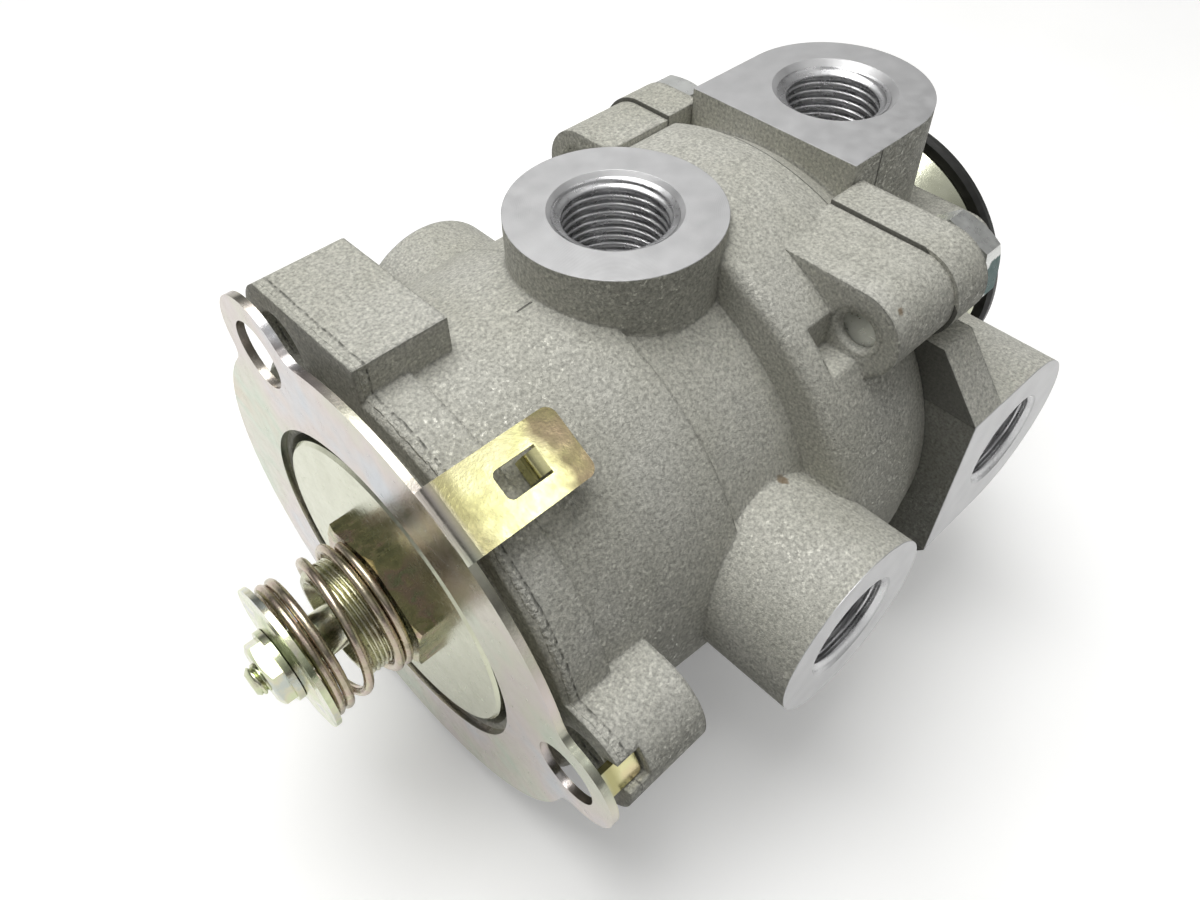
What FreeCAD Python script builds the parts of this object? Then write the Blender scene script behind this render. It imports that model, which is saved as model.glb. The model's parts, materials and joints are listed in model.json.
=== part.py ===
import FreeCAD, Part
import math
import os

from FreeCAD import Vector

os.makedirs("parts", exist_ok=True)

# A dual-circuit foot brake valve for air brakes, lying on its side.
# All sizes are in millimetres. +X runs along the valve's axis, from the pedal end
# to the exhaust end. +Z is up, through the two upper ports. -Y holds the right-hand ports.
# The origin is on the axis, in the plane of the mounting plate's front face.
# Angles round the axis are in degrees from +Y towards +Z.

# Mounting plate, a steel stamping with three ears and two bent tabs
plate_t = 1.2
plate_r = 40.0
plate_hole_r = 27.6
mount_circle_r = 39.7
mount_hole_r = 5.15
mount_count = 3
first_mount_angle = 61.0
plate_ear_r = 8.9
plate_ear_blend = 4.0
tab_angle = 121.0
tab_width = 10.4
tab_reach = 20.0
tab_bend_r = 0.6
tab_corner_r = 1.6
window_start = 8.3
window_end = 15.0
window_width = 4.2
window_corner_r = 0.9
tongue_width = 3.4
tongue_clearance = 0.5
ear_tab_turn = -30.0
ear_tab_r = 5.7
ear_tab_width = 4.2
ear_tab_reach = 7.1
ear_tab_corner_r = 0.8
ear_tab_clearance = 0.4

# Upper casting: flange, barrel and the wide joint flange
upper_face_x = 3.7
register_r = 33.0
edge_break = 1.0
flange_r = 37.5
flange_back_x = 11.2
barrel_front_r = 36.4
barrel_step_x = 37.0
barrel_step_r = 38.0
barrel_rear_r = 37.0
joint_front_x = 53.0
joint_front_round = 2.0
joint_r = 44.0
joint_slope_x = 70.0
joint_edge_r = 42.6
left_step_y = 10.0
joint_flat_angle = 51.0
joint_flat_r = 40.4
joint_x = 76.0
ear_r = 8.6
ear_back_x = 18.0
pad_top_z = 42.4
ear_thread_r = 4.76
pad_end_y = 0.0

# Lower casting: port block, rear block and exhaust spigot
shoulder_length = 5.5
shoulder_r = 39.2
lower_barrel_r = 37.0
lower_barrel_end_x = 94.0
rear_block_end_x = 113.0
rear_block_half_width = 28.0
rear_block_half_height = 23.3
rear_block_round = 5.0
spigot_r = 22.0
spigot_end_x = 116.0

# Joint screws and their lugs
screw_right_y = -32.5
screw_left_y = 23.7
screw_z = 32.9
upper_lug_r = 6.9
lower_lug_r = 7.5
lug_root_r = 33.0
pocket_length = 5.3
pocket_clearance = 0.6
upper_lug_length = 13.5
lower_lug_length = 7.5
spot_face_gap = 0.3
screw_r = 3.9
screw_thread_clearance = 0.06
screw_hole_r = 4.3
screw_end_recess = 1.5
screw_head_flats = 12.7
screw_head_h = 4.6
screw_head_chamfer = 1.0
washer_t = 1.0
washer_r = 6.6
washer_bore_gap = 0.2
screw_turn = 20.0

# Ports, all with the same thread
port_r = 8.6
port_depth = 17.0
lower_port_depth = 15.2
port_chamfer_top_upper = 9.75
port_chamfer_top_lower = 10.25
port_chamfer_side = 9.0
boss_top_r = 15.9
boss_top_x = 47.7
boss_top_z = 44.3
boss_right_r = 15.3
boss_right_x = 44.6
boss_right_y = -52.7
boss_left_r = 16.3
boss_left_x = 45.8
boss_left_y = 50.0
block_top_r = 16.2
block_top_x = 97.9
block_top_z = 43.4
block_top_front_x = 81.5
block_root_depth = 6.0
block_side_r = 15.6
block_side_x = 93.0
block_side_front_x = 76.1
block_side_y = 48.7
gusset_top_y = 40.1
gusset_top_z = 25.9
passage_r = 4.0
supply_passage_upper_x = 53.4
delivery_passage_upper_x = 41.0
supply_passage_lower_x = 101.0
relay_passage_r = 2.0
relay_passage_x = 89.8

# Bores along the axis
piston_bore_r = 26.4
piston_bore_end_x = 36.0
spring_chamber_r = 24.0
upper_web_x = 46.0
web_t = 3.0
seat_hole_r = 8.2
valve_bore_r = 17.0
valve_bore_end_upper_x = 68.0
relay_bore_r = 31.0
relay_bore_end_x = 87.6
relay_chamber_r = 24.2
lower_web_x = 92.0
balance_hole_r = 1.5
balance_hole_angle = -90.0
balance_hole_circle_r = 22.0

# Seal between the castings
joint_seal_r = 33.9
joint_seal_width = 2.6
joint_seal_depth = 2.0

# Gaps between the moving parts, and the travel they have before they meet
upper_lost_motion = 2.3
lower_lost_motion = 2.0
running_gap = 0.06
free_gap = 0.3

# Pedal seat: disc, threaded barrel and hexagon nut
seat_disc_r = 25.3
seat_disc_front_x = 0.3
seat_disc_t = 2.2
barrel_thread_r = 9.2
barrel_thread_front_x = -9.7
barrel_mouth_r = 7.6
barrel_mouth_depth = 1.6
barrel_tail_x = 6.0
nut_flats = 22.2
nut_t = 3.0
nut_corner_angle = 104.5
nut_bore_gap = 0.05

# Primary piston and graduating rubber spring
piston_rim_x = 7.0
piston_cup_r = 22.4
piston_floor_x = 13.2
piston_back_x = 21.0
seal_groove_x = 15.4
seal_width = 2.4
seal_depth = 2.2
rubber_inner_r = 11.0
rubber_outer_r = 21.6
tube_inner_r = 5.0
tube_outer_r = 7.2

# Stem, its spring seat and lock nut
stem_r = 3.5
stem_front_x = -16.0
stem_thread_r = 2.4
stem_tip_x = -23.4
stem_hole_gap = 0.08
spring_washer_r = 12.0
spring_washer_front_x = -18.4
spring_washer_t = 0.9
spring_washer_dish = 0.8
spring_washer_hub_r = 5.5
spring_washer_flat_r = 8.2
lock_nut_flats = 9.5
lock_nut_t = 3.2
lock_nut_collar_r = 5.9
lock_nut_collar_t = 1.0

# Inlet and exhaust valves, the same in both circuits
valve_head_r = 10.5
valve_rubber_t = 1.6
valve_head_t = 2.1
valve_tube_r = 7.0
valve_bore_inner_r = 4.6
valve_length = 17.0
retainer_offset = 12.0
retainer_t = 4.0
retainer_gap = 0.1
ring_t = 1.2
ring_groove_depth = 1.2
ring_inner_r = 14.0
ring_opening_angle = 50.0

# Relay piston
relay_front_x = 78.0
relay_t = 5.0
relay_groove_x = 79.3
relay_hub_r = 9.0
relay_hub_front_x = 73.0
relay_vent_r = 0.9
relay_vent_count = 6

# Coil springs: wire radius, mean coil radius and turns
points_per_turn = 12
closed_pitch_ratio = 2.08
spring_seat_gap = 0.05
stem_wire_r = 0.75
stem_coil_r = 10.35
stem_front_closed_turns = 1.8
stem_open_turns = 1.15
stem_back_closed_turns = 1.45
stem_coil_start_angle = 209.0
stem_coil_rise = 4.0
return_wire_r = 1.1
return_coil_r = 18.0
return_turns = 4.5
valve_wire_r = 0.6
valve_coil_r = 9.0
valve_turns = 3.0
relay_wire_r = 1.0
relay_coil_r = 22.0
relay_turns = 1.8

# Exhaust cover, rubber diaphragm, washer and screw
cover_t = 1.2
cover_fit = 0.1
cover_skirt = 3.0
cover_flange_r = 26.1
cover_flange_rake = 4.4
cover_window_r = 3.6
cover_window_circle_r = 13.0
cover_window_count = 6
diaphragm_t = 1.6
diaphragm_r = 28.5
diaphragm_bead_t = 2.4
diaphragm_seat_gap = 0.05
exhaust_washer_r = 8.0
exhaust_washer_t = 1.0
exhaust_screw_r = 2.0
exhaust_screw_fit = 0.08
exhaust_collar_r = 3.6
exhaust_collar_depth = 2.4
exhaust_head_r = 4.0
exhaust_head_t = 2.2

# Planes that follow the joint between the castings
upper_lug_x = joint_x - upper_lug_length
lower_lug_x = joint_x + lower_lug_length
pocket_front_x = upper_lug_x - pocket_length
shoulder_x = joint_x + shoulder_length

X_AXIS = Vector(1, 0, 0)
Z_AXIS = Vector(0, 0, 1)


def at_angle(radius, angle, x=0.0):
    a = math.radians(angle)
    return Vector(x, radius * math.cos(a), radius * math.sin(a))


def cyl_x(x0, x1, r, y=0.0, z=0.0):
    return Part.makeCylinder(r, x1 - x0, Vector(x0, y, z), X_AXIS)


def ring_x(x0, x1, r_out, r_in):
    return cyl_x(x0, x1, r_out).cut(cyl_x(x0 - 1, x1 + 1, r_in))


def box(x0, x1, y0, y1, z0, z1):
    return Part.makeBox(x1 - x0, y1 - y0, z1 - z0, Vector(x0, y0, z0))


def revolved(profile):
    """A closed profile of (x, radius) points, turned about the valve's axis."""
    points = [Vector(x, r, 0) for x, r in profile]
    face = Part.Face(Part.makePolygon(points + points[:1]))
    return face.revolve(Vector(0, 0, 0), X_AXIS, 360)


def hexagon(x0, x1, flats, corner_angle=0.0, chamfer=0.0):
    """A hexagonal prism along the axis, its front and back corners turned off."""
    corner_r = flats / math.sqrt(3)
    points = [at_angle(corner_r, corner_angle + 60 * i, x0) for i in range(6)]
    prism = Part.Face(Part.makePolygon(points + points[:1])).extrude(Vector(x1 - x0, 0, 0))
    if chamfer > 0:
        low_r = corner_r - 2 * chamfer
        turned = [(x0, 0), (x0, low_r), (x0 + chamfer, corner_r), (x1, corner_r), (x1, 0)]
        prism = prism.common(revolved(turned))
    return prism


def turned_about_axis(shape, angle):
    shape = shape.copy()
    shape.rotate(Vector(0, 0, 0), X_AXIS, angle)
    return shape


def repeated(shape, count):
    return [turned_about_axis(shape, 360.0 / count * i) for i in range(count)]


def wire_along(points, wire_r):
    """A round wire whose centre runs smoothly through a row of points."""
    curve = Part.BSplineCurve()
    curve.interpolate(points)
    section = Part.makeCircle(wire_r, points[0], curve.tangent(curve.FirstParameter)[0])
    return Part.Wire(curve.toShape()).makePipeShell([Part.Wire(section)], True, True)


def coil(x0, x1, coil_r, wire_r, turns):
    """An evenly wound round-wire spring between two planes."""
    first = x0 + wire_r
    last = x1 - wire_r
    steps = int(round(turns * points_per_turn))
    points = []
    for i in range(steps + 1):
        share = i / steps
        points.append(at_angle(coil_r, 360 * turns * share, first + share * (last - first)))
    return wire_along(points, wire_r)


def save(name, *solids):
    flat = []
    for shape in solids:
        flat += shape.Solids
    for solid in flat:
        if not solid.isValid() or solid.Volume <= 0:
            print("check", name, solid.isValid(), solid.Volume)
    shape = flat[0] if len(flat) == 1 else Part.makeCompound(flat)
    shape.exportStep("parts/" + name + ".step")


def mount_angle(index):
    return first_mount_angle + 360.0 / mount_count * index


# Mounting plate


def bent_strip(width, reach, root_r, corner_r):
    """A tab that leaves the plate's edge at +Y and bends back along +X."""
    outer_bend = tab_bend_r + plate_t
    bend_x = outer_bend
    bend_y = root_r - tab_bend_r
    flat = box(0, plate_t, bend_y - 2 * plate_t, bend_y, -width / 2, width / 2)
    bend = Part.makeCylinder(outer_bend, width, Vector(bend_x, bend_y, -width / 2), Z_AXIS)
    bend = bend.cut(Part.makeCylinder(tab_bend_r, width, Vector(bend_x, bend_y, -width / 2), Z_AXIS))
    bend = bend.common(box(0, bend_x, bend_y, root_r + plate_t, -width / 2, width / 2))
    leg = box(bend_x, reach, root_r, root_r + plate_t, -width / 2, width / 2)
    corners = [e for e in leg.Edges if is_along(e, 1) and e.CenterOfMass.x > reach - 0.01]
    leg = leg.makeFillet(corner_r, corners)
    return flat.fuse(bend).fuse(leg)


def is_along(edge, axis):
    """Whether a straight edge runs along one axis of the frame."""
    if edge.Curve.TypeId != "Part::GeomLine":
        return False
    direction = edge.Curve.Direction
    return abs(abs((direction.x, direction.y, direction.z)[axis]) - 1) < 1e-6


def main_tab():
    strip = bent_strip(tab_width, tab_reach, plate_r, tab_corner_r)
    half = window_width / 2
    window = box(window_start, window_end, plate_r - 1, plate_r + plate_t + 1, -half, half)
    corners = [e for e in window.Edges if is_along(e, 1) and e.CenterOfMass.x < window_start + 0.01]
    strip = strip.cut(window.makeFillet(window_corner_r, corners))
    hook_r = tab_bend_r + plate_t
    hook_y = plate_r - tab_bend_r
    width = tongue_width
    hook = Part.makeCylinder(hook_r, width, Vector(window_end, hook_y, -width / 2), Z_AXIS)
    hook = hook.cut(Part.makeCylinder(tab_bend_r, width, Vector(window_end, hook_y, -width / 2), Z_AXIS))
    hook = hook.common(box(window_end - hook_r, window_end, hook_y, hook_y + hook_r, -width, width))
    leg_end = barrel_r_at(window_end) + tongue_clearance
    leg = box(window_end - hook_r, window_end - tab_bend_r, leg_end, hook_y, -width / 2, width / 2)
    return strip.fuse(hook).fuse(leg)


def barrel_r_at(x):
    share = (x - flange_back_x) / (barrel_step_x - flange_back_x)
    return barrel_front_r + share * (barrel_step_r - barrel_front_r)


def retaining_plate():
    plate = cyl_x(0, plate_t, plate_r)
    for i in range(mount_count):
        centre = at_angle(mount_circle_r, mount_angle(i))
        plate = plate.fuse(cyl_x(0, plate_t, plate_ear_r, centre.y, centre.z))
    plate = plate.removeSplitter()
    necks = []
    for edge in plate.Edges:
        if is_along(edge, 0):
            necks.append(edge)
    plate = plate.makeFillet(plate_ear_blend, necks)
    plate = plate.fuse(turned_about_axis(main_tab(), tab_angle))
    ear_tab = bent_strip(ear_tab_width, ear_tab_reach, ear_tab_r, ear_tab_corner_r)
    ear_tab = turned_about_axis(ear_tab, mount_angle(1) + ear_tab_turn)
    ear_tab.translate(at_angle(mount_circle_r, mount_angle(1)))
    plate = plate.fuse(ear_tab)
    plate = plate.cut(cyl_x(-1, plate_t + 1, plate_hole_r))
    for i in range(mount_count):
        centre = at_angle(mount_circle_r, mount_angle(i))
        plate = plate.cut(cyl_x(-1, plate_t + 1, mount_hole_r, centre.y, centre.z))
    return plate.removeSplitter()


# Castings


def port_boss(face, direction, radius, depth_to_axis):
    return Part.makeCylinder(radius, depth_to_axis, face, direction * -1)


def port_bore(face, direction, depth, chamfer_r):
    inward = direction * -1
    start = face + direction
    bore = Part.makeCylinder(port_r, depth + 1, start, inward)
    lead = chamfer_r - port_r
    cone = Part.makeCone(chamfer_r, port_r, lead, face, inward)
    return bore.fuse(cone)


def ear(angle):
    """A mounting ear's lug: a round end on a block that runs in to the barrel."""
    lug = cyl_x(upper_face_x, ear_back_x, ear_r, mount_circle_r, 0)
    web = box(upper_face_x, ear_back_x, register_r, mount_circle_r, -ear_r, ear_r)
    return turned_about_axis(lug.fuse(web), angle)


def top_pad():
    """The flat-topped block that carries the first ear."""
    centre = at_angle(mount_circle_r, mount_angle(0))
    return box(upper_face_x, ear_back_x, pad_end_y, centre.y, centre.z - ear_r, pad_top_z)


def joint_lug(x0, x1, centre, radius):
    """One joint lug: a round end, a flat top and a square web back to the flange."""
    tip = cyl_x(x0, x1, radius, centre.y, centre.z)
    side_y = math.copysign(1, centre.y)
    side_z = math.copysign(1, centre.z)
    reach = math.hypot(centre.y, centre.z)
    out = Vector(0, centre.y / reach, centre.z / reach)
    across = Vector(0, side_y * abs(out.z), -side_z * abs(out.y)) * radius
    foot = out * (reach - lug_root_r)
    middle = Vector(x0, centre.y, centre.z)
    top_z = centre.z + side_z * radius
    root = lug_root_r / 2
    points = [
        Vector(x0, centre.y, top_z),
        Vector(x0, side_y * root, top_z),
        Vector(x0, side_y * root, side_z * root),
        middle + across - foot,
        middle + across,
    ]
    web = Part.Face(Part.makePolygon(points + points[:1])).extrude(Vector(x1 - x0, 0, 0))
    return tip.fuse(web)


def screw_pocket(centre):
    """The notch in the flange in front of a right-hand lug, where the screw's end shows."""
    side_z = math.copysign(1, centre.z)
    inner_y = centre.y + screw_r + pocket_clearance
    inner_z = centre.z - side_z * (screw_r + pocket_clearance)
    z0, z1 = sorted((inner_z, inner_z + side_z * joint_r))
    return box(pocket_front_x, upper_lug_x, inner_y - joint_r, inner_y, z0, z1)


def left_step():
    """The front of the joint flange, which is missing on the left-hand side."""
    front = joint_front_x - 1
    step = box(front, upper_lug_x, left_step_y, 2 * joint_r, -2 * joint_r, 2 * joint_r)
    return step.cut(cyl_x(front, upper_lug_x, barrel_rear_r))


def left_flats(x0, x1):
    """The two flats that bring the joint flange in beside the left-hand port."""
    slab = box(x0, x1, joint_flat_r, joint_flat_r + joint_r, -joint_r, joint_r)
    return turned_about_axis(slab, joint_flat_angle).fuse(turned_about_axis(slab, -joint_flat_angle))


def spot_faces():
    """The room that is cut behind each lower lug for a screw's head and washer."""
    radius = screw_head_flats / math.sqrt(3) + spot_face_gap
    faces = []
    for point in screw_points():
        end = lower_barrel_end_x + 1
        faces.append(cyl_x(lower_lug_x, end, radius, point.y, point.z))
    return faces


def screw_points():
    points = []
    for y in (screw_right_y, screw_left_y):
        for z in (screw_z, -screw_z):
            points.append(Vector(0, y, z))
    return points


def upper_outer():
    shell = revolved([
        (plate_t, 0),
        (plate_t, register_r),
        (upper_face_x, register_r),
        (upper_face_x, flange_r - edge_break),
        (upper_face_x + edge_break, flange_r),
        (flange_back_x, flange_r),
        (flange_back_x, barrel_front_r),
        (barrel_step_x, barrel_step_r),
        (barrel_step_x, barrel_rear_r),
        (joint_front_x, barrel_rear_r),
        (joint_front_x, joint_r),
        (joint_slope_x, joint_r),
        (joint_x, joint_edge_r),
        (joint_x, 0),
    ])
    rounded = []
    for edge in shell.Edges:
        centre = edge.BoundBox
        if abs(centre.XMin - joint_front_x) < 1e-3 and abs(centre.XMax - joint_front_x) < 1e-3:
            if abs(centre.YMax - joint_r) < 1e-3:
                rounded.append(edge)
    shell = shell.makeFillet(joint_front_round, rounded)
    return shell.cut(left_flats(joint_front_x - 1, joint_x + 1))


def upper_body():
    body = upper_outer()
    for i in range(mount_count):
        body = body.fuse(ear(mount_angle(i)))
    body = body.cut(box(0, ear_back_x + 1, 0, flange_r, pad_top_z, pad_top_z + ear_r))
    body = body.fuse(top_pad())
    body = body.cut(ear_tab_relief())
    top = Vector(boss_top_x, 0, boss_top_z)
    right = Vector(boss_right_x, boss_right_y, 0)
    left = Vector(boss_left_x, boss_left_y, 0)
    up = Z_AXIS
    side = Vector(0, 1, 0)
    body = body.cut(left_step())
    body = body.fuse(port_boss(top, up, boss_top_r, boss_top_z - spring_chamber_r))
    body = body.fuse(port_boss(right, side * -1, boss_right_r, -boss_right_y - spring_chamber_r))
    body = body.fuse(port_boss(left, side, boss_left_r, boss_left_y - spring_chamber_r))
    for point in screw_points():
        if point.y < 0:
            body = body.cut(screw_pocket(point))
        body = body.fuse(joint_lug(upper_lug_x, joint_x, point, upper_lug_r))
    body = body.removeSplitter()
    body = body.cut(port_bore(top, up, port_depth, port_chamfer_top_upper))
    body = body.cut(port_bore(right, side * -1, port_depth, port_chamfer_side))
    body = body.cut(port_bore(left, side, port_depth, port_chamfer_side))
    body = body.cut(upper_passages())
    body = body.cut(upper_bores())
    for i in range(mount_count):
        centre = at_angle(mount_circle_r, mount_angle(i))
        hole = cyl_x(upper_face_x - 1, ear_back_x + 1, ear_thread_r, centre.y, centre.z)
        body = body.cut(hole)
    for point in screw_points():
        thread_r = screw_r + screw_thread_clearance
        body = body.cut(cyl_x(upper_lug_x - 1, joint_x + 1, thread_r, point.y, point.z))
    return body


def ear_tab_relief():
    """The flat on the second ear that the plate's small tab lies on."""
    inner = ear_tab_r - ear_tab_clearance
    half = ear_tab_width / 2 + ear_tab_clearance
    relief = box(upper_face_x - 1, ear_tab_reach + ear_tab_clearance, inner, 2 * ear_r, -half, half)
    relief = turned_about_axis(relief, mount_angle(1) + ear_tab_turn)
    relief.translate(at_angle(mount_circle_r, mount_angle(1)))
    return relief


def upper_passages():
    supply_z = boss_top_z - port_depth
    delivery_right = -boss_right_y - port_depth
    delivery_left = boss_left_y - port_depth
    cuts = Part.makeCylinder(passage_r, supply_z, Vector(supply_passage_upper_x, 0, 0.5), Z_AXIS)
    base = Vector(delivery_passage_upper_x, -delivery_right - 0.5, 0)
    across = Part.makeCylinder(passage_r, delivery_right + delivery_left + 1, base, Vector(0, 1, 0))
    hole = at_angle(balance_hole_circle_r, balance_hole_angle)
    balance = cyl_x(upper_web_x - 1, valve_bore_end_upper_x + 1, balance_hole_r, hole.y, hole.z)
    return cuts.fuse(across).fuse(balance)


def upper_bores():
    web_back = upper_web_x + web_t
    bores = cyl_x(plate_t - 1, piston_bore_end_x, piston_bore_r)
    bores = bores.fuse(cyl_x(piston_bore_end_x - 1, upper_web_x, spring_chamber_r))
    bores = bores.fuse(cyl_x(upper_web_x - 1, web_back + 1, seat_hole_r))
    bores = bores.fuse(cyl_x(web_back, valve_bore_end_upper_x + 1, valve_bore_r))
    groove_x = upper_ring_x()
    bores = bores.fuse(cyl_x(groove_x, groove_x + ring_t + 0.1, valve_bore_r + ring_groove_depth))
    return bores.fuse(cyl_x(valve_bore_end_upper_x, joint_x + 1, relay_bore_r))


def rounded_block():
    """The square rear end of the lower casting, behind its round barrel."""
    half_y = rear_block_half_width
    half_z = rear_block_half_height
    block = box(lower_web_x, rear_block_end_x, -half_y, half_y, -half_z, half_z)
    edges = [e for e in block.Edges if is_along(e, 0)]
    return block.makeFillet(rear_block_round, edges)


def gusset(side):
    """The sloped web between a lower lug and the side port's block."""
    points = [
        Vector(joint_x, side * block_side_y, block_side_r),
        Vector(joint_x, side * gusset_top_y, gusset_top_z),
        Vector(joint_x, side * lug_root_r, gusset_top_z),
        Vector(joint_x, side * relay_bore_r, block_side_r),
    ]
    return Part.Face(Part.makePolygon(points + points[:1])).extrude(Vector(lower_lug_x - joint_x, 0, 0))


def d_block(face, direction, radius, front_x, depth_in, width_axis):
    """A port block with a flat front and a round rear, seen from its port face."""
    round_part = Part.makeCylinder(radius, depth_in, face, direction * -1)
    corner_a = Vector(front_x, 0, 0) + width_axis * -radius
    corner_b = Vector(face.x, 0, 0) + width_axis * radius
    inner = face - direction * depth_in
    low = corner_a + Vector(0, inner.y, inner.z)
    points = [
        low,
        low + Vector(corner_b.x - corner_a.x, 0, 0),
        low + Vector(corner_b.x - corner_a.x, 0, 0) + width_axis * (2 * radius),
        low + width_axis * (2 * radius),
    ]
    slab = Part.Face(Part.makePolygon(points + points[:1])).extrude(direction * depth_in)
    return round_part.fuse(slab)


def lower_body():
    body = revolved([
        (joint_x, 0),
        (joint_x, joint_edge_r),
        (shoulder_x, shoulder_r),
        (shoulder_x, lower_barrel_r),
        (lower_barrel_end_x, lower_barrel_r),
        (lower_barrel_end_x, spigot_r),
        (spigot_end_x, spigot_r),
        (spigot_end_x, 0),
    ])
    body = body.cut(left_flats(joint_x - 1, shoulder_x))
    for face in spot_faces():
        body = body.cut(face)
    body = body.fuse(rounded_block())
    top = Vector(block_top_x, 0, block_top_z)
    right = Vector(block_side_x, -block_side_y, 0)
    left = Vector(block_side_x, block_side_y, 0)
    up = Z_AXIS
    side = Vector(0, 1, 0)
    reach = block_top_z - relay_bore_r + block_root_depth
    body = body.fuse(d_block(top, up, block_top_r, block_top_front_x, reach, side))
    reach = block_side_y - relay_bore_r + block_root_depth
    body = body.fuse(d_block(right, side * -1, block_side_r, block_side_front_x, reach, up))
    body = body.fuse(d_block(left, side, block_side_r, block_side_front_x, reach, up))
    for point in screw_points():
        body = body.fuse(joint_lug(joint_x, lower_lug_x, point, lower_lug_r))
    for web in (gusset(1), gusset(-1)):
        body = body.fuse(web)
        body = body.fuse(web.mirror(Vector(0, 0, 0), Z_AXIS))
    body = body.removeSplitter()
    body = body.cut(port_bore(top, up, lower_port_depth, port_chamfer_top_lower))
    body = body.cut(port_bore(right, side * -1, lower_port_depth, port_chamfer_side))
    body = body.cut(port_bore(left, side, lower_port_depth, port_chamfer_side))
    body = body.cut(lower_passages())
    body = body.cut(lower_bores())
    seal_out = joint_seal_r + joint_seal_width / 2
    seal_in = joint_seal_r - joint_seal_width / 2
    body = body.cut(ring_x(joint_x - 1, joint_x + joint_seal_depth, seal_out, seal_in))
    for point in screw_points():
        body = body.cut(cyl_x(joint_x - 1, lower_lug_x + 1, screw_hole_r, point.y, point.z))
    return body


def lower_passages():
    supply_z = block_top_z - lower_port_depth
    delivery_y = block_side_y - lower_port_depth
    supply = Part.makeCylinder(passage_r, supply_z, Vector(supply_passage_lower_x, 0, 0.5), Z_AXIS)
    base = Vector(relay_passage_x, -delivery_y - 0.5, 0)
    across = Part.makeCylinder(relay_passage_r, 2 * delivery_y + 1, base, Vector(0, 1, 0))
    return supply.fuse(across)


def lower_bores():
    web_back = lower_web_x + web_t
    bores = cyl_x(joint_x - 1, relay_bore_end_x, relay_bore_r)
    bores = bores.fuse(cyl_x(relay_bore_end_x - 1, lower_web_x, relay_chamber_r))
    bores = bores.fuse(cyl_x(lower_web_x - 1, web_back + 1, seat_hole_r))
    bores = bores.fuse(cyl_x(web_back, spigot_end_x + 1, valve_bore_r))
    groove_x = lower_ring_x()
    return bores.fuse(cyl_x(groove_x, groove_x + ring_t + 0.1, valve_bore_r + ring_groove_depth))


def joint_seal():
    gap = 0.05
    out = joint_seal_r + joint_seal_width / 2 - gap
    return ring_x(joint_x, joint_x + joint_seal_depth, out, out - joint_seal_width + 2 * gap)


# Joint screws


def joint_screws():
    screws = []
    seat = lower_lug_x + washer_t
    end = seat + screw_head_h
    corner_r = screw_head_flats / math.sqrt(3)
    crown = revolved([
        (seat, 0),
        (seat, corner_r),
        (end - screw_head_chamfer, corner_r),
        (end, corner_r - 1.4 * screw_head_chamfer),
        (end, 0),
    ])
    for i, point in enumerate(screw_points()):
        shank = cyl_x(upper_lug_x + screw_end_recess, seat, screw_r, point.y, point.z)
        head = hexagon(seat, end, screw_head_flats, screw_turn * (i + 1)).common(crown)
        head.translate(point)
        screws.append(shank.fuse(head))
    return screws


def screw_washers():
    washers = []
    for point in screw_points():
        washer = ring_x(lower_lug_x, lower_lug_x + washer_t, washer_r, screw_r + washer_bore_gap)
        washer.translate(point)
        washers.append(washer)
    return washers


# Pedal seat


def seat_disc():
    rim_drop = 0.5
    disc = revolved([
        (seat_disc_front_x, 0),
        (seat_disc_front_x, seat_disc_r - rim_drop),
        (seat_disc_front_x + rim_drop, seat_disc_r),
        (seat_disc_front_x + seat_disc_t, seat_disc_r),
        (seat_disc_front_x + seat_disc_t, 0),
    ])
    return disc.cut(cyl_x(-1, seat_disc_front_x + seat_disc_t + 1, barrel_thread_r + nut_bore_gap))


def threaded_barrel():
    lip = 0.8
    bore_r = stem_r + stem_hole_gap
    return revolved([
        (barrel_thread_front_x + barrel_mouth_depth, bore_r),
        (barrel_thread_front_x + barrel_mouth_depth, barrel_mouth_r - lip),
        (barrel_thread_front_x, barrel_mouth_r),
        (barrel_thread_front_x, barrel_thread_r - lip),
        (barrel_thread_front_x + lip, barrel_thread_r),
        (seat_disc_front_x + seat_disc_t, barrel_thread_r),
        (seat_disc_front_x + seat_disc_t, rubber_inner_r - free_gap),
        (barrel_tail_x, rubber_inner_r - free_gap),
        (barrel_tail_x, bore_r),
    ])


def adjusting_nut():
    nut = hexagon(seat_disc_front_x - nut_t, seat_disc_front_x, nut_flats, nut_corner_angle, 0.5)
    return nut.cut(cyl_x(-nut_t - 1, seat_disc_front_x + 1, barrel_thread_r + nut_bore_gap))


# Primary piston and rubber spring


def piston_seal_groove(x, outer_r):
    return ring_x(x, x + seal_width, outer_r + 1, outer_r - seal_depth)


def piston_seal(x, outer_r):
    return ring_x(x + 0.1, x + seal_width - 0.1, outer_r, outer_r - seal_depth)


def upper_seat_end_x():
    """Where the primary piston's exhaust seat stands at rest."""
    return upper_web_x + web_t + free_gap - upper_lost_motion


def primary_piston():
    outer_r = piston_bore_r - running_gap
    piston = revolved([
        (piston_rim_x, piston_cup_r),
        (piston_rim_x, outer_r),
        (piston_back_x, outer_r),
        (piston_back_x, tube_outer_r + 3),
        (piston_back_x + 3, tube_outer_r),
        (upper_seat_end_x(), tube_outer_r),
        (upper_seat_end_x(), tube_inner_r),
        (piston_floor_x, tube_inner_r),
        (piston_floor_x, piston_cup_r),
    ])
    return piston.cut(piston_seal_groove(seal_groove_x, outer_r))


def rubber_spring():
    front = seat_disc_front_x + seat_disc_t + free_gap
    back = piston_floor_x - free_gap
    waist = 1.2
    middle = (front + back) / 2
    inner = rubber_inner_r
    return revolved([
        (front, inner),
        (front, rubber_outer_r - waist),
        (middle, rubber_outer_r - 2 * waist),
        (back, rubber_outer_r),
        (back, inner),
    ])


# Stem


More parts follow.
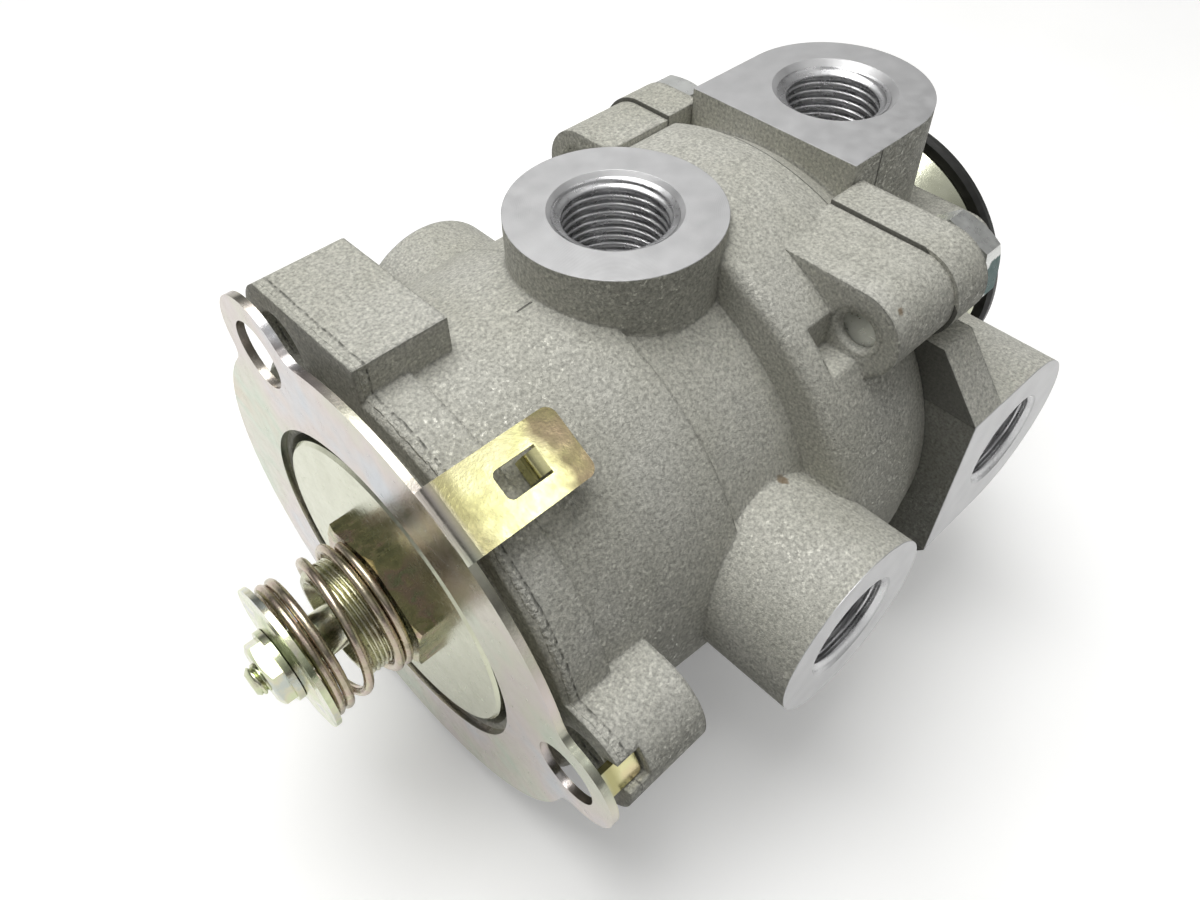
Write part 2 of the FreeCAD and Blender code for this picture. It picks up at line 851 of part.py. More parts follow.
def stem():
    tail = relay_front_x + relay_t
    chamfer = 0.6
    return revolved([
        (stem_tip_x, 0),
        (stem_tip_x, stem_thread_r - chamfer),
        (stem_tip_x + chamfer, stem_thread_r),
        (stem_front_x, stem_thread_r),
        (stem_front_x, stem_r),
        (tail, stem_r),
        (tail, 0),
    ])


def spring_washer_back_x():
    return spring_washer_front_x + spring_washer_dish + spring_washer_t


def spring_washer():
    front = spring_washer_front_x
    back = spring_washer_back_x()
    rim = back - spring_washer_t
    bore_r = stem_thread_r + 0.1
    pilot_r = stem_coil_r - stem_wire_r - free_gap
    return revolved([
        (front, bore_r),
        (front, spring_washer_hub_r),
        (rim, spring_washer_flat_r),
        (rim, spring_washer_r),
        (back, spring_washer_r),
        (back, pilot_r),
        (stem_front_x, spring_washer_hub_r),
        (stem_front_x, bore_r),
    ])


def lock_nut():
    back = spring_washer_front_x
    front = back - lock_nut_t
    bore_r = stem_thread_r + 0.05
    nut = hexagon(front, back, lock_nut_flats, 15, 0.6)
    nut = nut.fuse(cyl_x(back - lock_nut_collar_t, back, lock_nut_collar_r))
    return nut.cut(cyl_x(front - 1, back + 1, bore_r))


# Valves and their retainers


def valve_head(seat_x):
    """The moulded rubber face that closes on both seats."""
    return ring_x(seat_x, seat_x + valve_rubber_t, valve_head_r - 0.4, valve_bore_inner_r)


def valve_tube(seat_x):
    head_x = seat_x + valve_rubber_t
    return revolved([
        (head_x, valve_bore_inner_r),
        (head_x, valve_head_r),
        (head_x + valve_head_t, valve_head_r),
        (head_x + valve_head_t, valve_tube_r),
        (seat_x + valve_length, valve_tube_r),
        (seat_x + valve_length, valve_bore_inner_r),
    ])


def retainer(seat_x):
    x0 = seat_x + retainer_offset
    body = ring_x(x0, x0 + retainer_t, valve_bore_r - retainer_gap, valve_tube_r + running_gap)
    groove = ring_x(x0 + 1, x0 + retainer_t - 1, valve_bore_r, valve_bore_r - seal_depth)
    return body.cut(groove)


def retainer_seal(seat_x):
    x0 = seat_x + retainer_offset + 1.1
    return ring_x(x0, x0 + retainer_t - 2.2, valve_bore_r - 0.02, valve_bore_r - seal_depth)


def retaining_ring(x):
    ring = ring_x(x, x + ring_t, valve_bore_r + ring_groove_depth - 0.1, ring_inner_r)
    half = math.radians(ring_opening_angle / 2)
    far = 2 * valve_bore_r
    points = [
        Vector(x - 1, 0, 0),
        Vector(x - 1, far * math.sin(half), -far * math.cos(half)),
        Vector(x - 1, -far * math.sin(half), -far * math.cos(half)),
    ]
    gap = Part.Face(Part.makePolygon(points + points[:1])).extrude(Vector(ring_t + 2, 0, 0))
    return ring.cut(gap)


def upper_valve_x():
    return upper_web_x + web_t + free_gap


def lower_valve_x():
    return lower_web_x + web_t + free_gap


def upper_ring_x():
    return upper_valve_x() + retainer_offset + retainer_t + 0.05


def lower_ring_x():
    return lower_valve_x() + retainer_offset + retainer_t + 0.05


def valve_spring(seat_x):
    front = seat_x + valve_rubber_t + valve_head_t + free_gap
    back = seat_x + retainer_offset - free_gap
    return coil(front, back, valve_coil_r, valve_wire_r, valve_turns)


# Relay piston


def relay_piston():
    outer_r = relay_bore_r - running_gap
    back = relay_front_x + relay_t
    seat_end = lower_valve_x() - lower_lost_motion
    piston = revolved([
        (relay_hub_front_x, 0),
        (relay_hub_front_x, relay_hub_r - 1),
        (relay_hub_front_x + 1, relay_hub_r),
        (relay_front_x, relay_hub_r),
        (relay_front_x, outer_r - 1),
        (relay_front_x + 1, outer_r),
        (back, outer_r),
        (back, tube_outer_r),
        (seat_end, tube_outer_r),
        (seat_end, tube_inner_r),
        (back, tube_inner_r),
        (back, 0),
    ])
    piston = piston.cut(piston_seal_groove(relay_groove_x, outer_r))
    piston = piston.cut(cyl_x(relay_hub_front_x - 1, back + 1, stem_r + 0.05))
    vent = cyl_x(relay_hub_front_x - 1, back + 1, relay_vent_r, tube_inner_r - relay_vent_r + 0.6)
    for hole in repeated(vent, relay_vent_count):
        piston = piston.cut(hole)
    return piston


# Exhaust end


def cover_back_x():
    return spigot_end_x + cover_fit + cover_t


def exhaust_cover():
    skirt_r = spigot_r + cover_fit
    front = spigot_end_x + cover_fit
    back = cover_back_x()
    bore_r = exhaust_screw_r + exhaust_screw_fit
    cover = revolved([
        (front - cover_skirt, skirt_r),
        (front - cover_skirt, skirt_r + cover_t),
        (front, skirt_r + cover_t),
        (front + cover_flange_rake, cover_flange_r),
        (back + cover_flange_rake, cover_flange_r),
        (back, skirt_r + cover_t),
        (back, bore_r),
        (front - exhaust_collar_depth, bore_r),
        (front - exhaust_collar_depth, exhaust_collar_r),
        (front, exhaust_collar_r),
        (front, skirt_r),
    ])
    window = cyl_x(front - 1, back + 1, cover_window_r, cover_window_circle_r)
    for hole in repeated(window, cover_window_count):
        cover = cover.cut(hole)
    return cover


def exhaust_diaphragm():
    front = cover_back_x() + diaphragm_seat_gap
    knee_r = spigot_r + cover_fit + cover_t
    rim_front = front + cover_flange_rake
    bead_front = rim_front - (diaphragm_bead_t - diaphragm_t)
    bead_in = cover_flange_r + diaphragm_seat_gap
    bore_r = exhaust_screw_r + exhaust_screw_fit
    soft = 0.7
    return revolved([
        (front, bore_r),
        (front, knee_r),
        (rim_front, cover_flange_r),
        (rim_front, bead_in),
        (bead_front, bead_in),
        (bead_front, diaphragm_r - soft),
        (bead_front + soft, diaphragm_r),
        (bead_front + diaphragm_bead_t - soft, diaphragm_r),
        (bead_front + diaphragm_bead_t, diaphragm_r - soft),
        (bead_front + diaphragm_bead_t, cover_flange_r),
        (front + diaphragm_t, knee_r),
        (front + diaphragm_t, bore_r),
    ])


def diaphragm_back_x():
    return cover_back_x() + diaphragm_seat_gap + diaphragm_t


def exhaust_washer():
    front = diaphragm_back_x()
    return ring_x(front, front + exhaust_washer_t, exhaust_washer_r, exhaust_screw_r + exhaust_screw_fit)


def exhaust_screw():
    seat = diaphragm_back_x() + exhaust_washer_t
    tip = spigot_end_x - exhaust_collar_depth - 1
    return revolved([
        (tip, 0),
        (tip, exhaust_screw_r - 0.4),
        (tip + 0.4, exhaust_screw_r),
        (seat, exhaust_screw_r),
        (seat, exhaust_head_r),
        (seat + exhaust_head_t * 0.4, exhaust_head_r),
        (seat + exhaust_head_t, exhaust_head_r * 0.5),
        (seat + exhaust_head_t, 0),
    ])


# Springs


def stem_spring():
    """The spring round the stem: closed turns at both ends, and open ones that rise early."""
    first = spring_washer_back_x() + spring_seat_gap + stem_wire_r
    last = seat_disc_front_x - nut_t - spring_seat_gap - stem_wire_r
    closed_pitch = closed_pitch_ratio * stem_wire_r
    closed_turns = stem_front_closed_turns + stem_back_closed_turns
    open_length = last - first - closed_turns * closed_pitch
    total = closed_turns + stem_open_turns
    steps = int(round(total * points_per_turn))
    points = []
    for i in range(steps + 1):
        turn = total * i / steps
        share = min(max((turn - stem_front_closed_turns) / stem_open_turns, 0.0), 1.0)
        x = first + (turn - share * stem_open_turns) * closed_pitch + share * open_length
        x += stem_coil_rise * share * (1 - share) ** 2
        points.append(at_angle(stem_coil_r, stem_coil_start_angle - 360 * turn, x))
    return wire_along(points, stem_wire_r)


def return_spring():
    front = piston_back_x + free_gap
    back = upper_web_x - free_gap
    return coil(front, back, return_coil_r, return_wire_r, return_turns)


def relay_spring():
    front = relay_front_x + relay_t + free_gap
    back = lower_web_x - free_gap
    return coil(front, back, relay_coil_r, relay_wire_r, relay_turns)


def main():
    save("retaining_plate", retaining_plate())
    save("upper_body", upper_body())
    save("lower_body", lower_body())
    save("joint_seal", joint_seal())
    save("joint_screws", *joint_screws())
    save("screw_washers", *screw_washers())
    save("seat_disc", seat_disc())
    save("threaded_barrel", threaded_barrel())
    save("adjusting_nut", adjusting_nut())
    save("rubber_spring", rubber_spring())
    save("primary_piston", primary_piston())
    save("primary_piston_seal", piston_seal(seal_groove_x, piston_bore_r - running_gap))
    save("piston_return_spring", return_spring())
    save("primary_valve_head", valve_head(upper_valve_x()))
    save("primary_valve_tube", valve_tube(upper_valve_x()))
    save("primary_valve_spring", valve_spring(upper_valve_x()))
    save("primary_retainer", retainer(upper_valve_x()))
    save("primary_retainer_seal", retainer_seal(upper_valve_x()))
    save("primary_retaining_ring", retaining_ring(upper_ring_x()))
    save("relay_piston", relay_piston())
    save("relay_piston_seal", piston_seal(relay_groove_x, relay_bore_r - running_gap))
    save("relay_spring", relay_spring())
    save("secondary_valve_head", valve_head(lower_valve_x()))
    save("secondary_valve_tube", valve_tube(lower_valve_x()))
    save("secondary_valve_spring", valve_spring(lower_valve_x()))
    save("secondary_retainer", retainer(lower_valve_x()))
    save("secondary_retainer_seal", retainer_seal(lower_valve_x()))
    save("secondary_retaining_ring", retaining_ring(lower_ring_x()))
    save("stem", stem())
    save("stem_spring", stem_spring())
    save("stem_spring_washer", spring_washer())
    save("stem_lock_nut", lock_nut())
    save("exhaust_cover", exhaust_cover())
    save("exhaust_diaphragm", exhaust_diaphragm())
    save("exhaust_washer", exhaust_washer())
    save("exhaust_screw", exhaust_screw())


main()
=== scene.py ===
import bpy
import json
import math
from mathutils import Matrix, Vector


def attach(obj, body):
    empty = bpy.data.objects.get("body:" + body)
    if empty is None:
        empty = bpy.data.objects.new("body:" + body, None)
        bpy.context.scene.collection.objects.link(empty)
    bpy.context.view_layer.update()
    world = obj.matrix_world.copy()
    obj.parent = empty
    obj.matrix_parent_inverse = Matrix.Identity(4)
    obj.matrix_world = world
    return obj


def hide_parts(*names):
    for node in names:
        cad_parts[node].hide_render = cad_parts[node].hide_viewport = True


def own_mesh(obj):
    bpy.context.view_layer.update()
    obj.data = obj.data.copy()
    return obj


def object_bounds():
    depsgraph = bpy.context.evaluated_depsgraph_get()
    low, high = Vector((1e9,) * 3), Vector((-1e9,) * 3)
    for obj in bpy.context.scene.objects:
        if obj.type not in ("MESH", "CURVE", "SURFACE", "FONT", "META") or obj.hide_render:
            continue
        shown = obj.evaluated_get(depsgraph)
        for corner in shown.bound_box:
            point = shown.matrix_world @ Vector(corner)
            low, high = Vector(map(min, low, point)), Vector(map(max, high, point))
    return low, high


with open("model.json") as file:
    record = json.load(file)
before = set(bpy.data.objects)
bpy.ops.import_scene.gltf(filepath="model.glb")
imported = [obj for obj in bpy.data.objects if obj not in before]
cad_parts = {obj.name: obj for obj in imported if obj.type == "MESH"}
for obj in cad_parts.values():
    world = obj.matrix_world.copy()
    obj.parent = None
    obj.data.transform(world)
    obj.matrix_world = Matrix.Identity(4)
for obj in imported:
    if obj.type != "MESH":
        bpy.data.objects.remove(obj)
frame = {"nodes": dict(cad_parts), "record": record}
cad_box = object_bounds()

MM = 0.001

# Camera: place and axes in the valve's frame, from the photograph's own perspective
camera_place = Vector((-30.92, -79.83, 120.98)) * MM
camera_right = Vector((0.72242711, -0.69141032, -0.00713022))
camera_down = Vector((-0.52267957, -0.53931809, -0.6602591))
lens_mm = 28.43
sensor_mm = 36.0

# Lengths are in millimetres from here to the springs. x runs along the valve's axis, from the
# plate's front face towards the exhaust, and z runs up.

# Threads
port_pitch = 1.411
port_root_r = 8.58
port_thread_depth = 0.95
barrel_pitch = 0.75
barrel_thread_depth = 0.38
stem_pitch = 0.8
stem_thread_depth = 0.45
rows_per_turn = 9

# Ports: the middle of the mouth, the way out, how deep the thread goes, and its chamfer
ports = {
    "port_thread_upper_top": ((47.7, 0, 44.3), (0, 0, 1), 17.0, 1.15),
    "port_thread_upper_right": ((44.6, -52.7, 0), (0, -1, 0), 17.0, 0.4),
    "port_thread_upper_left": ((45.8, 50.0, 0), (0, 1, 0), 17.0, 0.4),
    "port_thread_lower_top": ((97.9, 0, 43.4), (0, 0, 1), 15.2, 1.65),
    "port_thread_lower_right": ((93.0, -48.7, 0), (0, -1, 0), 15.2, 0.4),
    "port_thread_lower_left": ((93.0, 48.7, 0), (0, 1, 0), 15.2, 0.4),
}
port_half_width = 17.5
face_skin = 0.12
rim_height = 1.6

# The castings' parting lines
front_rim_r = 36.9
flash_x = 4.9
rim_seam_x = 5.6
boss_seam_y = -0.7
boss_seam_from, boss_seam_to = 28.5, 31.2
boss_seam_z = 36.5
block_seam_x = 88.3
block_side_y = -15.9
block_low_z = 33.0
joint_x = 76.0
joint_line_r = 52.0

# Rust spots and their radii, and the dab of paint on a screw
rust_spots = (((48.0, -34.5, 14.9), 0.7), ((64.8, -36.9, 38.2), 0.35))
paint_spot = (87.8, -38.4, 32.6)

# Screw holes in the upper casting's lugs
lug_holes = {
    "upper_right": (-32.5, 32.9),
    "lower_right": (-32.5, -32.9),
    "upper_left": (23.7, 32.9),
    "lower_left": (23.7, -32.9),
}

# Springs copied from their CAD solids: front end, rear end, and what the pedal takes up
soft_springs = {
    "rubber_spring": (2.8, 12.9, 3.0),
    "piston_return_spring": (21.3, 45.7, 5.0),
    "primary_valve_spring": (53.3, 61.0, 3.0),
    "relay_spring": (83.3, 91.7, 4.0),
    "secondary_valve_spring": (99.3, 107.0, 2.3),
}

# Floor, in metres
floor_half_width = 8.0
floor_glow = 0.20

# Lights: the way towards each, distance and size in metres, power in watts, colour
lights = {
    "overhead": ((-0.08, 0.20, 1.0), 0.6, 0.42, 2.6, (1.0, 0.997, 0.985)),
    "behind": ((0.60, 0.60, 0.62), 0.7, 0.34, 0.20, (1.0, 1.0, 1.0)),
    "side": ((0.31, -0.48, 0.82), 0.7, 0.10, 0.13, (1.0, 1.0, 0.99)),
}
lights_aim = Vector((50, 0, 0)) * MM


def make_camera():
    data = bpy.data.cameras.new("camera")
    data.lens = lens_mm
    data.sensor_width = sensor_mm
    data.sensor_fit = "HORIZONTAL"
    data.clip_start = 0.005
    data.clip_end = 20
    camera = bpy.data.objects.new("camera", data)
    bpy.context.collection.objects.link(camera)
    up = -camera_down
    back = camera_right.cross(up)
    turn = Matrix((camera_right, up, back)).transposed()
    camera.matrix_world = Matrix.Translation(camera_place) @ turn.to_4x4()
    bpy.context.scene.camera = camera


# Materials


class Finish:
    """A material whose nodes are added one call at a time.

    Lengths are in millimetres, apart from the radius of a soft edge, which is in metres. A
    noise's scale is in cycles a millimetre. Masks are 1 where they hold and 0 elsewhere.
    """

    def __init__(self, name):
        self.material = bpy.data.materials.new(name)
        self.material.use_nodes = True
        self.tree = self.material.node_tree
        self.shader = self.tree.nodes["Principled BSDF"]
        metres = self.add("ShaderNodeTexCoord").outputs["Object"]
        scaled = self.add("ShaderNodeVectorMath", operation="SCALE")
        self.feed(scaled.inputs[0], metres)
        scaled.inputs["Scale"].default_value = 1 / MM
        self.place = scaled.outputs[0]
        split = self.add("ShaderNodeSeparateXYZ")
        self.feed(split.inputs[0], self.place)
        self.axes = split.outputs

    def add(self, kind, **settings):
        node = self.tree.nodes.new(kind)
        for key, value in settings.items():
            setattr(node, key, value)
        return node

    def feed(self, socket, value):
        if isinstance(value, bpy.types.NodeSocket):
            self.tree.links.new(value, socket)
        else:
            socket.default_value = value

    def math(self, operation, *values):
        node = self.add("ShaderNodeMath", operation=operation)
        for socket, value in zip(node.inputs, values):
            self.feed(socket, value)
        return node.outputs[0]

    def chain(self, operation, values):
        result = values[0]
        for value in values[1:]:
            result = self.math(operation, result, value)
        return result

    def product(self, *values):
        """For masks, where all of them hold."""
        return self.chain("MULTIPLY", values)

    def highest(self, *values):
        """For masks, where any of them holds."""
        return self.chain("MAXIMUM", values)

    def sum(self, *values):
        return self.chain("ADD", values)

    def above(self, value, limit):
        return self.math("GREATER_THAN", value, limit)

    def below(self, value, limit):
        return self.math("LESS_THAN", value, limit)

    def noise(self, scale, detail=2.0, roughness=0.5):
        node = self.add("ShaderNodeTexNoise")
        self.feed(node.inputs["Vector"], self.place)
        self.feed(node.inputs["Scale"], scale)
        self.feed(node.inputs["Detail"], detail)
        self.feed(node.inputs["Roughness"], roughness)
        return node.outputs[0]

    def ramp(self, value, stops):
        node = self.add("ShaderNodeValToRGB")
        self.feed(node.inputs[0], value)
        elements = node.color_ramp.elements
        while len(elements) < len(stops):
            elements.new(0.5)
        for element, (position, colour) in zip(elements, stops):
            element.position = position
            element.color = (*colour, 1)
        return node.outputs[0]

    def range(self, value, low, high, to_low=0.0, to_high=1.0):
        node = self.add("ShaderNodeMapRange")
        for socket, number in zip(node.inputs, (value, low, high, to_low, to_high)):
            self.feed(socket, number)
        return node.outputs[0]

    def mottle(self, scale, first, last, detail=2.0):
        """A colour that drifts between two from place to place."""
        return self.ramp(self.noise(scale, detail), [(0.3, first), (0.7, last)])

    def vary(self, scale, low, high):
        """A number that drifts between two from place to place."""
        return self.range(self.noise(scale), 0.3, 0.7, low, high)

    def wander(self, value, scale, most, detail=2.0):
        """The value, off by up to the most either way."""
        return self.sum(value, self.range(self.noise(scale, detail), 0, 1, -most, most))

    def mix(self, share, a, b):
        node = self.add("ShaderNodeMix", data_type="RGBA")
        self.feed(node.inputs[0], share)
        for socket, colour in ((node.inputs[6], a), (node.inputs[7], b)):
            known = isinstance(colour, bpy.types.NodeSocket)
            self.feed(socket, colour if known else (*colour, 1))
        return node.outputs[2]

    def distance(self, point, axis=None):
        """The distance from a point, or from a line through it along an axis of the frame."""
        away = self.add("ShaderNodeVectorMath", operation="SUBTRACT")
        self.feed(away.inputs[0], self.place)
        away.inputs[1].default_value = point
        away = away.outputs[0]
        if axis is not None:
            flat = self.add("ShaderNodeVectorMath", operation="MULTIPLY")
            self.feed(flat.inputs[0], away)
            flat.inputs[1].default_value = [1 - abs(a) for a in axis]
            away = flat.outputs[0]
        length = self.add("ShaderNodeVectorMath", operation="LENGTH")
        self.feed(length.inputs[0], away)
        return length.outputs["Value"]

    def from_axis(self):
        """The distance from the valve's own axis."""
        return self.distance((0, 0, 0), (1, 0, 0))

    def bump(self, height, depth, strength=1.0, soft_edge=None):
        """Height 0 to 1 stands for the depth. A soft edge rounds the corners by its radius."""
        node = self.add("ShaderNodeBump")
        self.feed(node.inputs["Height"], height)
        node.inputs["Strength"].default_value = strength
        node.inputs["Distance"].default_value = depth * MM
        if soft_edge:
            edge = self.add("ShaderNodeBevel", samples=4)
            self.feed(edge.inputs["Radius"], soft_edge)
            self.feed(node.inputs["Normal"], edge.outputs[0])
        self.feed(self.shader.inputs["Normal"], node.outputs[0])

    def surface(self, colour, metallic, roughness):
        self.feed(self.shader.inputs["Base Color"], colour)
        self.feed(self.shader.inputs["Metallic"], metallic)
        self.feed(self.shader.inputs["Roughness"], roughness)


def port_masks(finish):
    """Where the castings are machined, the tool's rings there, and a crisp rim at each face."""
    ring_rate = 24.0
    masks = []
    rings = []
    rims = []
    for mouth, out, depth, lead in ports.values():
        along = [abs(a) for a in out].index(1)
        level = finish.product(finish.axes[along], float(out[along]))
        face = abs(mouth[along])
        away = finish.distance(mouth, out)
        beside = finish.math("ABSOLUTE", finish.math("SUBTRACT", finish.axes[0], mouth[0]))
        beside = finish.below(beside, port_half_width)
        on_face = finish.product(finish.above(level, face - face_skin), beside)
        near_axis = finish.below(away, port_root_r + lead + 0.1)
        in_bore = finish.product(near_axis, finish.above(level, face - depth - 1))
        groove = finish.math("SINE", finish.product(away, ring_rate))
        masks.append(finish.highest(on_face, in_bore))
        rings.append(finish.product(on_face, groove))
        rims.append(finish.product(finish.above(level, face - rim_height), beside))
    return finish.highest(*masks), finish.sum(*rings), finish.highest(*rims)


def line_mask(finish, axis, place, half_width, wander=0.0):
    """A thin line in a plane across one axis of the frame, straight or wandering."""
    fade = 0.12
    level = finish.axes[axis]
    if wander:
        level = finish.wander(level, 0.4, wander)
    away = finish.math("ABSOLUTE", finish.math("SUBTRACT", level, place))
    return finish.range(away, half_width, half_width + fade, 1.0, 0.0)


def parting_lines(finish):
    """The flash round the front rim, which stands proud, and the dark seams of the moulds."""
    x, y, z = finish.axes
    on_rim = finish.above(finish.from_axis(), front_rim_r)
    ragged = finish.range(finish.noise(1.3), 0.35, 0.65)
    broken_rim = finish.product(on_rim, ragged)
    flash = finish.product(line_mask(finish, 0, flash_x, 0.4, 0.3), broken_rim)
    rim_seam = finish.product(line_mask(finish, 0, rim_seam_x, 0.05, 0.3), broken_rim)
    boss = finish.product(
        finish.above(x, boss_seam_from),
        finish.below(x, boss_seam_to),
        finish.above(z, boss_seam_z),
    )
    boss_seam = finish.product(line_mask(finish, 1, boss_seam_y, 0.07, 0.15), boss)
    block = finish.product(finish.below(y, block_side_y), finish.above(z, block_low_z))
    block_seam = finish.product(line_mask(finish, 0, block_seam_x, 0.12), block)
    joint = finish.below(finish.from_axis(), joint_line_r)
    joint_line = finish.product(line_mask(finish, 0, joint_x, 0.06), joint)
    return flash, finish.highest(rim_seam, boss_seam, block_seam, joint_line)


def rust_mask(finish):
    """Small rust spots on the right-hand boss and the upper lug."""
    spots = []
    for spot, radius in rust_spots:
        away = finish.wander(finish.distance(spot), 1.1, 0.5)
        spots.append(finish.range(away, radius, radius + 0.4, 0.75, 0.0))
    return finish.highest(*spots)


def cast_finish():
    """Blasted cast aluminium with its parting lines, and bright where it is machined."""
    finish = Finish("blasted_cast_aluminium")
    machined, rings, rims = port_masks(finish)
    flash, seam = parting_lines(finish)
    grain = finish.noise(2.0, 3.0, 0.65)
    fine = finish.noise(5.5, 2.0, 0.6)
    cells = finish.add("ShaderNodeTexVoronoi")
    finish.feed(cells.inputs["Vector"], finish.place)
    finish.feed(cells.inputs["Scale"], 2.8)
    sparkle = finish.add("ShaderNodeSeparateColor")
    finish.feed(sparkle.inputs[0], cells.outputs["Color"])
    sparkle = finish.range(sparkle.outputs[0], 0.80, 1.0)

    speck = finish.sum(
        finish.range(grain, 0.34, 0.66, 0.64, 1.20),
        finish.product(sparkle, 0.22),
        finish.product(flash, 0.15),
    )
    cast = finish.add("ShaderNodeVectorMath", operation="SCALE")
    finish.feed(cast.inputs[0], finish.mottle(0.06, (0.47, 0.465, 0.405), (0.54, 0.535, 0.485)))
    finish.feed(cast.inputs["Scale"], speck)
    cast = finish.mix(finish.product(seam, 0.8), cast.outputs[0], (0.10, 0.10, 0.09))
    cast = finish.mix(rust_mask(finish), cast, (0.17, 0.11, 0.05))
    turned = finish.mottle(0.25, (0.56, 0.56, 0.565), (0.63, 0.63, 0.635))

    rough_cast = finish.range(sparkle, 0, 1, 0.60, 0.40)
    rough_turned = finish.vary(0.5, 0.40, 0.48)
    still_cast = finish.math("SUBTRACT", 1.0, machined)
    finish.surface(
        finish.mix(machined, cast, turned),
        finish.highest(finish.product(machined, 0.85), finish.range(sparkle, 0, 1, 0.05, 0.5)),
        finish.sum(
            finish.product(machined, rough_turned),
            finish.product(still_cast, rough_cast),
        ),
    )
    finish.shader.inputs["Specular IOR Level"].default_value = 0.25

    height = finish.sum(finish.product(grain, 0.65), finish.product(fine, 0.35))
    height = finish.product(height, still_cast)
    height = finish.sum(height, finish.product(rings, 0.02), finish.product(flash, 0.9))
    height = finish.math("SUBTRACT", height, seam)
    crisp = finish.highest(rims, line_mask(finish, 0, joint_x, 1.2))
    finish.bump(height, 0.24, 1.0, finish.range(crisp, 0, 1, 1.2 * MM, 0.15 * MM))
    return finish.material


def plate_finish():
    """Yellow zinc on the plate: nearly silver, with drifting tints, and gold on the tabs, whose
    bend and end are darkened with painted shade over their own tints.
    """
    finish = Finish("rainbow_yellow_zinc")
    along = finish.axes[0]
    tints = finish.ramp(finish.noise(0.045, 3.0, 0.55), [
        (0.30, (0.50, 0.52, 0.55)),
        (0.42, (0.56, 0.50, 0.47)),
        (0.52, (0.54, 0.52, 0.43)),
        (0.62, (0.48, 0.53, 0.42)),
        (0.74, (0.54, 0.48, 0.37)),
    ])
    gold = finish.ramp(finish.noise(0.16, 3.0), [
        (0.30, (0.62, 0.59, 0.28)),
        (0.45, (0.70, 0.67, 0.34)),
        (0.58, (0.77, 0.73, 0.42)),
        (0.72, (0.75, 0.64, 0.39)),
    ])
    # Painted shade: the tabs turn dark olive near the bend, partly the zinc's own tint and partly
    # a painted fall-off of the tab's highlight.
    bend_olive_and_painted_shade = finish.range(finish.wander(along, 0.3, 0.9), 3.2, 4.8, 0.75, 0.0)
    gold = finish.mix(bend_olive_and_painted_shade, gold, (0.36, 0.33, 0.16))
    end_brown_and_painted_shade = finish.ramp(finish.noise(0.3), [
        (0.35, (0.20, 0.175, 0.09)),
        (0.65, (0.22, 0.16, 0.11)),
    ])
    # Painted shade: the tabs' ends turn dark brown, partly the zinc's own tint and partly a
    # painted dark reflection.
    end_dark_and_painted_shade = finish.product(finish.range(finish.wander(along, 0.25, 2.5), 14.5, 17.0), 0.9)
    gold = finish.mix(end_dark_and_painted_shade, gold, end_brown_and_painted_shade)
    on_tabs = finish.range(along, 0.9, 2.4)
    finish.surface(finish.mix(on_tabs, tints, gold), 1.0, finish.vary(0.5, 0.18, 0.28))
    finish.bump(finish.noise(2.2), 0.02, 0.6)
    return finish.material


def zinc_finish(name, tints, rough, grain=0.02):
    """Passivated zinc, whose tints run from the first to the last as the film thickens."""
    finish = Finish(name)
    first, last = 0.34, 0.66
    step = (last - first) / (len(tints) - 1)
    stops = [(first + step * i, tint) for i, tint in enumerate(tints)]
    colour = finish.ramp(finish.noise(0.22, 3.0, 0.6), stops)
    finish.surface(colour, 1.0, finish.vary(0.9, rough - 0.05, rough + 0.06))
    finish.bump(finish.noise(3.0), grain, 0.8)
    return finish.material


def screw_finish():
    """Bright zinc, with a dab of teal marking paint on one head."""
    finish = Finish("bright_zinc_screws")
    plain = finish.mottle(0.3, (0.58, 0.59, 0.57), (0.74, 0.75, 0.73), 3.0)
    away = finish.wander(finish.distance(paint_spot), 0.7, 1.2, 3.0)
    paint = finish.range(away, 2.9, 3.3, 1.0, 0.0)
    finish.surface(
        finish.mix(paint, plain, (0.01, 0.13, 0.12)),
        finish.range(paint, 0, 1, 1.0, 0.0),
        finish.vary(1.0, 0.24, 0.40),
    )
    finish.bump(finish.noise(3.0), 0.02, 0.7)
    return finish.material


def rubber_finish():
    finish = Finish("black_rubber")
    colour = finish.mottle(0.4, (0.012, 0.012, 0.011), (0.028, 0.028, 0.026), 3.0)
    finish.surface(colour, 0.0, finish.vary(1.2, 0.30, 0.48))
    finish.bump(finish.noise(4.0), 0.02, 0.6)
    return finish.material


def turned_finish(name, pale, deep):
    """A part turned on a lathe about the valve's axis."""
    finish = Finish(name)
    feed = finish.sum(finish.from_axis(), finish.axes[0])
    rings = finish.math("SINE", finish.product(feed, 28.0))
    finish.surface(finish.mottle(0.3, deep, pale), 1.0, finish.vary(0.8, 0.24, 0.36))
    finish.bump(rings, 0.006, 0.8)
    return finish.material


# Pieces


def carrier(node):
    """The body that a CAD node rides on."""
    for body, nodes in frame["record"]["behaviour"]["bodies"].items():
        if node in nodes:
            return body


def new_piece(name, vertices, faces, material, body):
    mesh = bpy.data.meshes.new(name)
    mesh.from_pydata([Vector(v) * MM for v in vertices], [], faces)
    mesh.validate()
    for polygon in mesh.polygons:
        polygon.use_smooth = True
    mesh.materials.append(material)
    piece = bpy.data.objects.new(name, mesh)
    bpy.context.collection.objects.link(piece)
    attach(piece, body)
    return piece


def ring_faces(a, b, segments):
    """The faces between two rings of vertices that start at a and at b."""
    faces = []
    for j in range(segments):
        k = (j + 1) % segments
        faces.append((a + j, a + k, b + k, b + j))
    return faces


def thread_height(turns):
    """A rounded thread form: 1 on the crest and 0 in the root."""
    share = turns - math.floor(turns)
    return min(max(1.6 - 3.2 * abs(share - 0.5), 0.0), 1.0)


